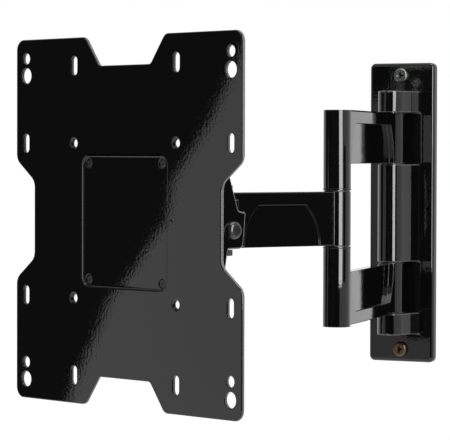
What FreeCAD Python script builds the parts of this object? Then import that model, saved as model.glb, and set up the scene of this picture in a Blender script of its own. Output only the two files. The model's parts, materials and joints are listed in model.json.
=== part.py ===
import FreeCAD, Part
import math
import os

# Articulated wall mount for a screen, in millimetres. The origin is the centre of the wall
# bracket's back face, +Z is up and +Y points into the wall, so the mount reaches out along -Y.
# Every piece is modelled with the arms straight out along -Y, then turned to its rest angle.

V = FreeCAD.Vector
UP = V(0, 0, 1)

# Rest angles of the three upright hinges, in degrees, seen from above
WALL_ANGLE = 12.1
ELBOW_ANGLE = -37.7
HEAD_ANGLE = 5.9

# Reach of each arm, from hinge axis to hinge axis, and of the head in front of its hinge
INNER_ARM_LENGTH = 171.7
OUTER_ARM_LENGTH = 101.6
HEAD_TO_SCREEN = 78.0
HEAD_TO_EAR_BOLT = 25.6
EAR_BOLT_HEIGHT = -5.0

# Fits
RUNNING = 0.05
SIDE_PLAY = 0.15
SEAT = 0.02

# How far a cutter reaches past the piece that it cuts
OVERSHOOT = 1.0

# Wall bracket, an extrusion: a flat plate with a round-nosed column down its middle
BRACKET_WIDTH = 52.0
BRACKET_THICKNESS = 7.0
BRACKET_EDGE_RADIUS = 2.5
BRACKET_CORNER_RADIUS = 4.0
COLUMN_WIDTH = 20.0
COLUMN_STANDOFF = 17.5
COLUMN_FILLET = 6.0
COLUMN_END_RADIUS = 1.2
COLUMN_ROOT = 1.0
COLUMN_END_LENGTH = 16.8

# Wall screws, one above and one below the column
WALL_SCREW_SPACING = 203.2
SCREW_TO_BRACKET_END = 9.4
SCREW_HEAD_TO_COLUMN = 6.0
WALL_HOLE_RADIUS = 3.4
WALL_SCREW_RADIUS = 3.1
WALL_SHANK_RADIUS = 3.25
SHANK_PAST_BRACKET = 2.0
WALL_SCREW_LENGTH = 57.0
WALL_SCREW_POINT = 7.0
WALL_SCREW_TIP_RADIUS = 0.4
WALL_SCREW_HEAD_RADIUS = 5.6
WALL_SCREW_HEAD_HEIGHT = 3.2
WALL_SCREW_CROWN = 1.9
WALL_RECESS_WIDTH = 5.6
WALL_RECESS_DEPTH = 2.2

# Hinge pins and the plastic plugs over their ends
PIN_RADIUS = 5.0
HEAD_PIN_RADIUS = 4.0
PLUG_RADIUS = 6.6
PLUG_THICKNESS = 3.0
PLUG_CROWN = 0.8
PIN_END_RADIUS = 0.6

# Flanged bushes in the moving knuckles
BUSH_WALL = 1.35
BUSH_LENGTH = 12.0
BUSH_FLANGE_THICKNESS = 0.6
BUSH_FLANGE_RADIUS = 8.8

# Both arms are castings with round knuckles and a shallow pocket in each side of the web
KNUCKLE_RADIUS = 9.3
WEB_THICKNESS = 12.0
WEB_EDGE_RADIUS = 0.8
POCKET_DEPTH = 1.2
POCKET_RIM = 8.6
POCKET_END_NEAR = 19.0
POCKET_END_FAR = 31.0
POCKET_ARC_RISE = 3.4
LEG_HEIGHT = 36.4
OUTER_ARM_HEIGHT = 36.4
ELBOW_WASHER_THICKNESS = 1.1
ELBOW_WASHER_RADIUS = 9.6

# Tilt head, a welded yoke: clevis plates round the head pin, a cross web and two ears
CLEVIS_THICKNESS = 4.0
CLEVIS_WIDTH = 20.0
CLEVIS_ROOT_WIDTH = 30.0
CLEVIS_END_RADIUS = 9.5
YOKE_WIDTH = 82.0
YOKE_WEB_THICKNESS = 4.0
YOKE_WEB_GAP = 2.2
EAR_THICKNESS = 3.0
EAR_RADIUS = 10.0
EAR_CORNER_RADIUS = 9.0
EAR_ROOT_TOP = 14.0
HEAD_PIN_CAP_RADIUS = 7.0
HEAD_PIN_CAP_HEIGHT = 3.5
HEAD_PIN_CAP_CROWN = 2.1
HEAD_PIN_TAIL = 2.0
HEAD_NUT_FLATS = 13.0
HEAD_NUT_HEIGHT = 6.5

# Tilt bolts through the ears and the wings of the screen bracket
TILT_BOLT_RADIUS = 4.0
TILT_BOLT_HEAD_RADIUS = 5.8
TILT_BOLT_HEAD_HEIGHT = 3.6
TILT_BOLT_CROWN = 2.9
TILT_BOLT_TAIL = 1.0
TILT_WASHER_THICKNESS = 1.0
TILT_WASHER_RADIUS = 8.5
TILT_NUT_FLATS = 13.0
TILT_NUT_HEIGHT = 5.5

# Tilt bracket, folded from sheet: a base behind the screen plate and a wing on each side
SHEET = 3.0
WING_BEND_RADIUS = 5.0
BRACKET_BASE_TOP = 46.0
BRACKET_BASE_BOTTOM = -44.0
WING_TOP_DEPTH = 41.6
WING_TOP_RADIUS = 4.0
WING_NECK_DEPTH = 55.5
WING_NECK_HEIGHT = 7.5
WING_NECK_RADIUS = 2.0
EAR_TIP_DEPTH = 60.5
EAR_TIP_HEIGHT = 6.0
EAR_TIP_RADIUS = 1.4
EAR_BACK_DEPTH = 58.0
EAR_BACK_RADIUS = 4.0
EAR_BOTTOM_HEIGHT = -17.0
EAR_BOTTOM_DEPTH = 48.5
EAR_BOTTOM_RADIUS = 1.0
WING_FOOT_DEPTH = 45.7
WING_FOOT_HEIGHT = -34.0
WING_FOOT_RADIUS = 3.0
BASE_WINDOW_WIDTH = 40.0
BASE_WINDOW_HEIGHT = 42.0
BASE_WINDOW_RADIUS = 6.0

# Screen plate, pressed from sheet, with a raised panel in its middle
SCREEN_WIDTH = 221.0
SCREEN_HEIGHT = 236.4
SCREEN_SHEET = 2.6
TAB_INNER = 39.0
TOP_NOTCH_HALF = 25.0
TOP_NOTCH_LEVEL = 99.5
SIDE_NOTCH_HALF = 25.0
SIDE_NOTCH_REACH = 91.5
SIDE_TAB_LEVEL = 39.0
CORNER_RADIUS = 7.0
TAB_RADIUS = 6.0
NOTCH_RADIUS = 4.0
SIDE_RADIUS = 8.0
PANEL_WIDTH = 79.0
PANEL_HEIGHT = 86.0
PANEL_RISE = 3.5
PANEL_RADIUS = 6.0
PANEL_EDGE_RADIUS = 1.4
PANEL_SCREW_X = 35.8
PANEL_SCREW_Z = 37.3
DIMPLE_RADIUS = 4.8
DIMPLE_WALL = 1.8

# Holes of the screen plate: four large and four small round ones at the corners of two
# squares, slots half-way, and countersunk ones for the small square
LARGE_PATTERN = 200.0
SMALL_PATTERN = 100.0
PATTERN_SHIFT = 5.6
LARGE_HOLE_RADIUS = 4.9
MIDDLE_HOLE_RADIUS = 3.4
SLOT_WIDTH = 5.5
SLOT_LENGTH = 11.9
SMALL_HOLE_RADIUS = 2.3
SMALL_HOLE_SINK_RADIUS = 3.6
SMALL_HOLE_SINK_DEPTH = 1.0
GAUGE_HOLE_RADIUS = 1.2
GAUGE_HOLE_X = 46.7
GAUGE_HOLE_Z = 2.4

# Screws that hold the tilt bracket to the screen plate
PLATE_SCREW_RADIUS = 2.0
PLATE_SCREW_HEAD_RADIUS = 3.7
PLATE_SCREW_HEAD_HEIGHT = 2.2
PLATE_SCREW_CROWN = 1.3
PLATE_RECESS_WIDTH = 3.7
PLATE_RECESS_DEPTH = 1.5
PLATE_NUT_FLATS = 7.0
PLATE_NUT_HEIGHT = 3.2
PLATE_SCREW_TAIL = 1.0

# Places along the straight mount
wall_axis = -(BRACKET_THICKNESS + COLUMN_STANDOFF)
elbow_axis = wall_axis - INNER_ARM_LENGTH
head_axis = elbow_axis - OUTER_ARM_LENGTH
screen_front = head_axis - HEAD_TO_SCREEN
tilt_axis = head_axis - HEAD_TO_EAR_BOLT
bracket_height = WALL_SCREW_SPACING + 2 * SCREW_TO_BRACKET_END
column_top = WALL_SCREW_SPACING / 2 - WALL_SCREW_HEAD_RADIUS - SCREW_HEAD_TO_COLUMN
link_top = column_top - COLUMN_END_LENGTH
leg_bottom = link_top - LEG_HEIGHT
arm_top = OUTER_ARM_HEIGHT / 2
tube_bottom = arm_top + BUSH_FLANGE_THICKNESS + SIDE_PLAY + ELBOW_WASHER_THICKNESS
bush_radius = PIN_RADIUS + RUNNING + BUSH_WALL
head_bush_radius = HEAD_PIN_RADIUS + RUNNING + BUSH_WALL
clevis_bottom = arm_top + BUSH_FLANGE_THICKNESS + SIDE_PLAY
clevis_top = clevis_bottom + CLEVIS_THICKNESS
yoke_back = head_axis - KNUCKLE_RADIUS - YOKE_WEB_GAP
yoke_front = yoke_back - YOKE_WEB_THICKNESS
wing_inner = YOKE_WIDTH / 2 + TILT_WASHER_THICKNESS
wing_outer = wing_inner + SHEET
sheet_back = screen_front + SCREEN_SHEET
base_back = sheet_back + SHEET


def box(x_span, y_span, z_span):
    """A block between two values on each axis."""
    corner = V(x_span[0], y_span[0], z_span[0])
    sides = [span[1] - span[0] for span in (x_span, y_span, z_span)]
    return Part.makeBox(*sides, corner)


def rod(radius, low, high, y, x=0.0):
    """An upright round bar."""
    return Part.makeCylinder(radius, high - low, V(x, y, low), UP)


def cross_rod(radius, low, high, y, z):
    """A round bar along X."""
    return Part.makeCylinder(radius, high - low, V(low, y, z), V(1, 0, 0))


def deep_rod(radius, low, high, x, z):
    """A round bar along Y."""
    return Part.makeCylinder(radius, high - low, V(x, low, z), V(0, 1, 0))


def rounded_face(corners, radii, place):
    """A flat face through the corners, each rounded to its radius; place maps 2-D to 3-D."""
    starts = []
    mids = []
    ends = []
    count = len(corners)
    for index in range(count):
        corner = V(*corners[index], 0)
        back = (V(*corners[index - 1], 0) - corner).normalize()
        ahead = (V(*corners[(index + 1) % count], 0) - corner).normalize()
        half_angle = back.getAngle(ahead) / 2
        reach = radii[index] / math.tan(half_angle)
        inward = (back + ahead).normalize()
        centre = corner + inward * (radii[index] / math.sin(half_angle))
        starts.append(corner + back * reach)
        ends.append(corner + ahead * reach)
        mids.append(centre - inward * radii[index])
    edges = []
    for index in range(count):
        arc_start = place(starts[index])
        arc_end = place(ends[index])
        if radii[index] > 0:
            edges.append(Part.Arc(arc_start, place(mids[index]), arc_end).toShape())
        line_end = place(starts[(index + 1) % count])
        if arc_end.distanceToPoint(line_end) > 1e-6:
            edges.append(Part.LineSegment(arc_end, line_end).toShape())
    return Part.Face(Part.Wire(edges))


def plan_prism(corners, radii, low, high):
    """An outline in plan, raised from low to high."""
    face = rounded_face(corners, radii, lambda p: V(p.x, p.y, low))
    return face.extrude(V(0, 0, high - low))


def side_prism(corners, radii, low, high):
    """An outline of depth and height, carried along X from low to high."""
    face = rounded_face(corners, radii, lambda p: V(low, p.x, p.y))
    return face.extrude(V(high - low, 0, 0))


def front_prism(corners, radii, low, high):
    """An outline seen from the front, carried along Y from low to high."""
    face = rounded_face(corners, radii, lambda p: V(p.x, low, p.y))
    return face.extrude(V(0, high - low, 0))


def front_panel(width, height, radius, low, high):
    """A round-cornered rectangle seen from the front, carried along Y."""
    x = width / 2
    z = height / 2
    return front_prism([(-x, -z), (x, -z), (x, z), (-x, z)], [radius] * 4, low, high)


def soften(shape, radius, chosen):
    """Round the edges that the test picks by their bounding box."""
    edges = [edge for edge in shape.Edges if chosen(edge.BoundBox)]
    return shape.makeFillet(radius, edges)


def hexagon(flats, depth_low, depth_high, axis, centre):
    """A nut blank along X, Y or Z, centred on an axis."""
    radius = flats / math.sqrt(3)
    turned = {"X": (V(0, 1, 0), V(0, 0, 1), V(1, 0, 0)),
              "Y": (V(1, 0, 0), V(0, 0, 1), V(0, 1, 0)),
              "Z": (V(1, 0, 0), V(0, 1, 0), V(0, 0, 1))}
    first, second, along = turned[axis]
    points = []
    for step in range(7):
        turn = math.radians(60 * step)
        spoke = first * radius * math.cos(turn) + second * radius * math.sin(turn)
        points.append(centre + along * depth_low + spoke)
    return Part.Face(Part.makePolygon(points)).extrude(along * (depth_high - depth_low))


def cross_recess(centre, width, depth):
    """The tapered cross of a driver recess, as a cutter that points along +Y."""
    blade = width / 4
    arms = []
    for turn in (0, 90):
        wedge = Part.makeWedge(-width / 2, 0, -blade / 2, -blade / 3, -width / 8,
                               width / 2, depth, blade / 2, blade / 3, width / 8)
        wedge.rotate(V(0, 0, 0), V(0, 1, 0), turn)
        arms.append(wedge)
    cutter = arms[0].fuse(arms[1])
    cutter.translate(centre)
    return cutter


def wall_plate():
    """The extruded wall bracket, with its column cut into three lengths."""
    c = COLUMN_WIDTH / 2
    flare = c + COLUMN_FILLET + OVERSHOOT
    nose = wall_axis - c
    front = -BRACKET_THICKNESS
    body = front_panel(BRACKET_WIDTH, bracket_height, BRACKET_CORNER_RADIUS, front, 0)
    body = soften(body, BRACKET_EDGE_RADIUS, lambda b: abs(b.YMax - front) < 0.01)
    root = front + COLUMN_ROOT
    corners = [(-flare, root), (flare, root), (flare, front), (c, front),
               (c, nose), (-c, nose), (-c, front), (-flare, front)]
    radii = [0, 0, 0, COLUMN_FILLET, c, c, COLUMN_FILLET, 0]
    column = plan_prism(corners, radii, -column_top, column_top)
    ends = [(root, -column_top), (root, column_top), (nose, column_top), (nose, -column_top)]
    column = column.common(side_prism(ends, [0, 0, COLUMN_END_RADIUS, COLUMN_END_RADIUS], -flare, flare))
    past = BUSH_FLANGE_THICKNESS + SIDE_PLAY
    for low, high in ((leg_bottom - past, link_top + past), (-link_top - past, past - leg_bottom)):
        column = column.cut(box((-flare, flare), (nose - OVERSHOOT, front), (low, high)))
    body = body.fuse(column).removeSplitter()
    body = body.cut(rod(PIN_RADIUS + SEAT, -column_top, column_top, wall_axis))
    for sign in (-1, 1):
        low, high = sorted((sign * column_top, sign * (column_top - PLUG_THICKNESS)))
        body = body.cut(rod(PLUG_RADIUS + SEAT, low, high, wall_axis))
        body = body.cut(deep_rod(WALL_HOLE_RADIUS, front, 0, 0, sign * WALL_SCREW_SPACING / 2))
    return body


def wall_screw(z):
    """A round-headed wood screw through the wall bracket, with a cross recess."""
    seat = -BRACKET_THICKNESS - SEAT
    tip = seat + WALL_SCREW_LENGTH
    body = deep_rod(WALL_SCREW_RADIUS, seat, tip - WALL_SCREW_POINT, 0, z)
    shank = deep_rod(WALL_SHANK_RADIUS, seat, SHANK_PAST_BRACKET, 0, z)
    point = Part.makeCone(WALL_SCREW_RADIUS, WALL_SCREW_TIP_RADIUS, WALL_SCREW_POINT,
                          V(0, tip - WALL_SCREW_POINT, z), V(0, 1, 0))
    head = deep_rod(WALL_SCREW_HEAD_RADIUS, seat - WALL_SCREW_HEAD_HEIGHT, seat, 0, z)
    face = seat - WALL_SCREW_HEAD_HEIGHT
    head = soften(head, WALL_SCREW_CROWN, lambda b: abs(b.YMin - face) < 0.01 and b.YLength < 0.01)
    body = body.fuse([shank, point, head])
    return body.cut(cross_recess(V(0, face, z), WALL_RECESS_WIDTH, WALL_RECESS_DEPTH))


def pin(radius, low, high, y):
    """A plain hinge pin with rounded ends."""
    return soften(rod(radius, low, high, y), PIN_END_RADIUS, lambda b: b.ZLength < 0.01)


def plug(sign, level, y):
    """A slightly crowned plastic plug that closes the end of a hinge bore."""
    low = min(level, level - sign * PLUG_THICKNESS)
    body = rod(PLUG_RADIUS, low, low + PLUG_THICKNESS, y)
    return soften(body, PLUG_CROWN, lambda b: b.ZLength < 0.01 and abs(b.ZMin - level) < 0.01)


def bush(sign, level, y, bore, outside):
    """A flanged sleeve pressed into the end of a knuckle; level is the knuckle's end face."""
    low, high = sorted((level, level - sign * BUSH_LENGTH))
    sleeve = rod(outside - SEAT, low, high, y)
    rim_low, rim_high = sorted((level, level + sign * BUSH_FLANGE_THICKNESS))
    rim = rod(BUSH_FLANGE_RADIUS, rim_low, rim_high, y)
    body = sleeve.fuse(rim)
    return body.cut(rod(bore + RUNNING, min(low, rim_low), max(high, rim_high), y))


def washer(radius, bore, low, high, y):
    """A flat ring."""
    return rod(radius, low, high, y).cut(rod(bore, low, high, y))


def side_pocket(sign, root, tip, open_level, rim_level):
    """A shallow pocket in one side of a web, open at one level, with an arc at each end."""
    near_root = root - POCKET_END_NEAR
    far_root = root - POCKET_END_FAR
    near_tip = tip + POCKET_END_NEAR
    far_tip = tip + POCKET_END_FAR
    outer = sign * WEB_THICKNESS / 2
    inner = outer - sign * POCKET_DEPTH
    beyond = outer + sign
    middle = (open_level + rim_level) / 2

    def bow(start, end, lean):
        mid = V(inner, (start + end) / 2 + lean * POCKET_ARC_RISE, middle)
        return Part.Arc(V(inner, start, open_level), mid, V(inner, end, rim_level)).toShape()

    rim = Part.LineSegment(V(inner, far_root, rim_level), V(inner, far_tip, rim_level)).toShape()
    mouth = Part.LineSegment(V(inner, near_root, open_level), V(inner, near_tip, open_level)).toShape()
    edges = [bow(near_root, far_root, 1), rim, bow(near_tip, far_tip, -1), mouth]
    wire = Part.Wire(Part.__sortEdges__(edges))
    return Part.Face(wire).extrude(V(beyond - inner, 0, 0))


def arm_web(root, tip, low, high):
    """The flat web between two knuckles, with softened long edges."""
    half = WEB_THICKNESS / 2
    web = box((-half, half), (tip, root), (low, high))
    return soften(web, WEB_EDGE_RADIUS, lambda b: b.YLength > abs(root - tip) - 0.01)


def link_leg(sign):
    """One leg of the inner arm: wall knuckle, pocketed web and the tube of the elbow."""
    low = leg_bottom
    high = link_top
    body = arm_web(wall_axis, elbow_axis, low, high)
    wall_knuckle = rod(KNUCKLE_RADIUS, low, high, wall_axis)
    elbow_tube = rod(KNUCKLE_RADIUS, tube_bottom, high, elbow_axis)
    body = body.fuse([wall_knuckle, elbow_tube])
    for side in (-1, 1):
        body = body.cut(side_pocket(side, wall_axis, elbow_axis, low, high - POCKET_RIM))
    body = body.cut(rod(PIN_RADIUS + RUNNING, low, high, wall_axis))
    for end in (low, high):
        span = sorted((end, end - math.copysign(BUSH_LENGTH, end - (low + high) / 2)))
        body = body.cut(rod(bush_radius, span[0], span[1], wall_axis))
    body = body.cut(rod(PIN_RADIUS + SEAT, tube_bottom, high, elbow_axis))
    body = body.cut(rod(PLUG_RADIUS + SEAT, high - PLUG_THICKNESS, high, elbow_axis))
    if sign < 0:
        body = body.mirror(V(0, 0, 0), UP)
    return body


def outer_arm():
    """The outer arm: elbow knuckle, pocketed web and head knuckle."""
    body = arm_web(elbow_axis, head_axis, -arm_top, arm_top)
    body = body.fuse([rod(KNUCKLE_RADIUS, -arm_top, arm_top, y) for y in (elbow_axis, head_axis)])
    for side in (-1, 1):
        body = body.cut(side_pocket(side, elbow_axis, head_axis, -arm_top, arm_top - POCKET_RIM))
    bores = ((elbow_axis, PIN_RADIUS, bush_radius), (head_axis, HEAD_PIN_RADIUS, head_bush_radius))
    for y, pin_radius, outside in bores:
        body = body.cut(rod(pin_radius + RUNNING, -arm_top, arm_top, y))
        for low, high in ((-arm_top, BUSH_LENGTH - arm_top), (arm_top - BUSH_LENGTH, arm_top)):
            body = body.cut(rod(outside, low, high, y))
    return body


def tilt_yoke():
    """The head: two clevis plates, a cross web and an ear at each side for the tilt bolts."""
    half = YOKE_WIDTH / 2
    body = box((-half, half), (yoke_front, yoke_back), (-clevis_top, clevis_top))
    end = head_axis + CLEVIS_WIDTH / 2
    root = CLEVIS_ROOT_WIDTH / 2
    tip = CLEVIS_WIDTH / 2
    corners = [(-root, yoke_front), (root, yoke_front), (tip, end), (-tip, end)]
    radii = [0, 0, CLEVIS_END_RADIUS, CLEVIS_END_RADIUS]
    for low, high in ((clevis_bottom, clevis_top), (-clevis_top, -clevis_bottom)):
        plate = plan_prism(corners, radii, low, high)
        body = body.fuse(plate.cut(rod(HEAD_PIN_RADIUS + SEAT, low, high, head_axis)))
    ear_front = tilt_axis - EAR_RADIUS
    profile = [(yoke_back, EAR_ROOT_TOP), (ear_front, EAR_BOLT_HEIGHT + EAR_RADIUS),
               (ear_front, EAR_BOLT_HEIGHT - EAR_RADIUS), (yoke_back, -clevis_top)]
    for low in (-half, half - EAR_THICKNESS):
        ear = side_prism(profile, [0, EAR_CORNER_RADIUS, EAR_CORNER_RADIUS, 0], low, low + EAR_THICKNESS)
        body = body.fuse(ear)
    return body.cut(cross_rod(TILT_BOLT_RADIUS + SEAT, -half, half, tilt_axis, EAR_BOLT_HEIGHT))


def head_pin():
    """The upright pin of the tilt head, with a low round cap."""
    shank = rod(HEAD_PIN_RADIUS, -clevis_top - HEAD_NUT_HEIGHT - HEAD_PIN_TAIL, clevis_top, head_axis)
    cap = rod(HEAD_PIN_CAP_RADIUS, clevis_top, clevis_top + HEAD_PIN_CAP_HEIGHT, head_axis)
    top = clevis_top + HEAD_PIN_CAP_HEIGHT
    cap = soften(cap, HEAD_PIN_CAP_CROWN, lambda b: abs(b.ZMin - top) < 0.01 and b.ZLength < 0.01)
    return shank.fuse(cap)


def head_nut():
    """The lock nut under the tilt head."""
    body = hexagon(HEAD_NUT_FLATS, -clevis_top - HEAD_NUT_HEIGHT, -clevis_top, "Z", V(0, head_axis, 0))
    return body.cut(rod(HEAD_PIN_RADIUS + SEAT, -clevis_top - HEAD_NUT_HEIGHT, -clevis_top, head_axis))


def tilt_bolt(sign):
    """A round-headed bolt through one wing and ear."""
    inner = YOKE_WIDTH / 2 - EAR_THICKNESS - TILT_NUT_HEIGHT - TILT_BOLT_TAIL
    outer = wing_outer + RUNNING + TILT_BOLT_HEAD_HEIGHT
    head = cross_rod(TILT_BOLT_HEAD_RADIUS, wing_outer + RUNNING, outer, tilt_axis, EAR_BOLT_HEIGHT)
    head = soften(head, TILT_BOLT_CROWN, lambda b: abs(b.XMin - outer) < 0.01 and b.XLength < 0.01)
    shank = cross_rod(TILT_BOLT_RADIUS, inner, wing_outer + RUNNING, tilt_axis, EAR_BOLT_HEIGHT)
    body = shank.fuse(head)
    return body if sign > 0 else body.mirror(V(0, 0, 0), V(1, 0, 0))


def tilt_washer(sign):
    """The friction washer between an ear and its wing."""
    low = YOKE_WIDTH / 2
    high = low + TILT_WASHER_THICKNESS - RUNNING
    ring = cross_rod(TILT_WASHER_RADIUS, low, high, tilt_axis, EAR_BOLT_HEIGHT)
    ring = ring.cut(cross_rod(TILT_BOLT_RADIUS + RUNNING, low, high, tilt_axis, EAR_BOLT_HEIGHT))
    return ring if sign > 0 else ring.mirror(V(0, 0, 0), V(1, 0, 0))


def tilt_nut(sign):
    """The nut inside an ear."""
    high = YOKE_WIDTH / 2 - EAR_THICKNESS
    low = high - TILT_NUT_HEIGHT
    nut = hexagon(TILT_NUT_FLATS, low, high, "X", V(0, tilt_axis, EAR_BOLT_HEIGHT))
    nut = nut.cut(cross_rod(TILT_BOLT_RADIUS + SEAT, low, high, tilt_axis, EAR_BOLT_HEIGHT))
    return nut if sign > 0 else nut.mirror(V(0, 0, 0), V(1, 0, 0))


def tilt_bracket():
    """The folded bracket: a windowed base and two shaped wings."""
    deep = screen_front + EAR_TIP_DEPTH
    corners = [(-wing_outer, deep), (-wing_outer, sheet_back), (wing_outer, sheet_back), (wing_outer, deep),
               (wing_inner, deep), (wing_inner, base_back), (-wing_inner, base_back), (-wing_inner, deep)]
    inside = WING_BEND_RADIUS - SHEET
    radii = [0, WING_BEND_RADIUS, WING_BEND_RADIUS, 0, 0, inside, inside, 0]
    channel = plan_prism(corners, radii, BRACKET_BASE_BOTTOM, BRACKET_BASE_TOP)
    profile = [(0, BRACKET_BASE_BOTTOM), (0, BRACKET_BASE_TOP), (WING_TOP_DEPTH, BRACKET_BASE_TOP),
               (WING_NECK_DEPTH, WING_NECK_HEIGHT), (EAR_TIP_DEPTH, EAR_TIP_HEIGHT),
               (EAR_BACK_DEPTH, EAR_BOTTOM_HEIGHT), (EAR_BOTTOM_DEPTH, EAR_BOTTOM_HEIGHT),
               (WING_FOOT_DEPTH, WING_FOOT_HEIGHT)]
    profile = [(screen_front + depth, height) for depth, height in profile]
    radii = [0, 0, WING_TOP_RADIUS, WING_NECK_RADIUS, EAR_TIP_RADIUS, EAR_BACK_RADIUS, EAR_BOTTOM_RADIUS,
             WING_FOOT_RADIUS]
    body = channel.common(side_prism(profile, radii, -wing_outer - OVERSHOOT, wing_outer + OVERSHOOT))
    body = body.cut(cross_rod(TILT_BOLT_RADIUS + RUNNING, -wing_outer, wing_outer, tilt_axis, EAR_BOLT_HEIGHT))
    window = front_panel(BASE_WINDOW_WIDTH, BASE_WINDOW_HEIGHT, BASE_WINDOW_RADIUS, sheet_back, base_back)
    body = body.cut(window)
    for x, z in screw_places():
        body = body.cut(deep_rod(PLATE_SCREW_RADIUS + SEAT, sheet_back, base_back, x, z))
    return body


def screw_places():
    """The four screws at the corners of the raised panel."""
    return [(x, z) for x in (-PANEL_SCREW_X, PANEL_SCREW_X) for z in (-PANEL_SCREW_Z, PANEL_SCREW_Z)]


def plate_screw(x, z):
    """A round-headed screw in a dimple of the raised panel."""
    seat = screen_front - SEAT
    tip = base_back + PLATE_NUT_HEIGHT + PLATE_SCREW_TAIL
    face = seat - PLATE_SCREW_HEAD_HEIGHT
    head = deep_rod(PLATE_SCREW_HEAD_RADIUS, face, seat, x, z)
    head = soften(head, PLATE_SCREW_CROWN, lambda b: abs(b.YMin - face) < 0.01 and b.YLength < 0.01)
    body = head.fuse(deep_rod(PLATE_SCREW_RADIUS, seat, tip, x, z))
    return body.cut(cross_recess(V(x, face, z), PLATE_RECESS_WIDTH, PLATE_RECESS_DEPTH))


def plate_nut(x, z):
    """The nut behind the tilt bracket."""
    nut = hexagon(PLATE_NUT_FLATS, base_back, base_back + PLATE_NUT_HEIGHT, "Y", V(x, 0, z))
    return nut.cut(deep_rod(PLATE_SCREW_RADIUS + SEAT, base_back, base_back + PLATE_NUT_HEIGHT, x, z))


def screen_outline():
    """The four-tabbed outline of the screen plate, clockwise from the top notch."""
    half_width = SCREEN_WIDTH / 2
    half_height = SCREEN_HEIGHT / 2
    quarter = [(TOP_NOTCH_HALF, TOP_NOTCH_LEVEL, NOTCH_RADIUS), (TAB_INNER, half_height, TAB_RADIUS),
               (half_width, half_height, CORNER_RADIUS), (half_width, SIDE_TAB_LEVEL, SIDE_RADIUS),
               (SIDE_NOTCH_REACH, SIDE_NOTCH_HALF, SIDE_RADIUS)]
    right = quarter + [(x, -z, radius) for x, z, radius in reversed(quarter)]
    whole = right + [(-x, z, radius) for x, z, radius in reversed(right)]
    return [(x, z) for x, z, radius in whole], [radius for x, z, radius in whole]


def slot(x, z):
    """An upright slot with round ends, as a cutter."""
    reach = (SLOT_LENGTH - SLOT_WIDTH) / 2
    body = box((x - SLOT_WIDTH / 2, x + SLOT_WIDTH / 2), (screen_front, sheet_back), (z - reach, z + reach))
    ends = [deep_rod(SLOT_WIDTH / 2, screen_front, sheet_back, x, z + shift) for shift in (-reach, reach)]
    return body.fuse(ends)


def screen_plate():
    """The pressed plate that the screen bolts to."""
    corners, radii = screen_outline()
    body = front_prism(corners, radii, screen_front, sheet_back)
    face = screen_front - PANEL_RISE
    panel = front_panel(PANEL_WIDTH, PANEL_HEIGHT, PANEL_RADIUS, face, screen_front)
    panel = soften(panel, PANEL_EDGE_RADIUS, lambda b: b.YLength < 0.01 and abs(b.YMin - face) < 0.01)
    body = body.fuse(panel)
    hollow = front_panel(PANEL_WIDTH - 2 * SCREEN_SHEET, PANEL_HEIGHT - 2 * SCREEN_SHEET,
                         PANEL_RADIUS - SCREEN_SHEET, face + SCREEN_SHEET, sheet_back)
    for x, z in screw_places():
        hollow = hollow.cut(deep_rod(DIMPLE_RADIUS + DIMPLE_WALL, face, sheet_back, x, z))
    body = body.cut(hollow)
    for x, z in screw_places():
        body = body.cut(deep_rod(DIMPLE_RADIUS, face, screen_front, x, z))
        body = body.cut(deep_rod(PLATE_SCREW_RADIUS + SEAT, screen_front, sheet_back, x, z))
    large = LARGE_PATTERN / 2
    small = SMALL_PATTERN / 2
    for x in (-large, large):
        for z in (-large, large):
            body = body.cut(deep_rod(LARGE_HOLE_RADIUS, screen_front, sheet_back, x, z - PATTERN_SHIFT))
            body = body.cut(deep_rod(MIDDLE_HOLE_RADIUS, screen_front, sheet_back, x, z + PATTERN_SHIFT))
    for x in (-1, 1):
        for z in (-1, 1):
            body = body.cut(slot(x * small, z * large))
            body = body.cut(slot(x * large, z * small))
            hole = deep_rod(SMALL_HOLE_RADIUS, screen_front, sheet_back, x * small, z * small)
            sink = Part.makeCone(SMALL_HOLE_SINK_RADIUS, SMALL_HOLE_RADIUS, SMALL_HOLE_SINK_DEPTH,
                                 V(x * small, screen_front, z * small), V(0, 1, 0))
            body = body.cut(hole.fuse(sink))
    return body.cut(deep_rod(GAUGE_HOLE_RADIUS, screen_front, sheet_back, GAUGE_HOLE_X, GAUGE_HOLE_Z))


def at_rest(shape, body):
    """Turn a piece from the straight pose to the rest pose of its body."""
    turns = [(WALL_ANGLE, wall_axis), (ELBOW_ANGLE, elbow_axis), (HEAD_ANGLE, head_axis)]
    depth = {"wall": 0, "inner_arm": 1, "outer_arm": 2, "head": 3, "screen": 3}[body]
    for angle, axis in reversed(turns[:depth]):
        shape.rotate(V(0, axis, 0), UP, angle)
    return shape


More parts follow.
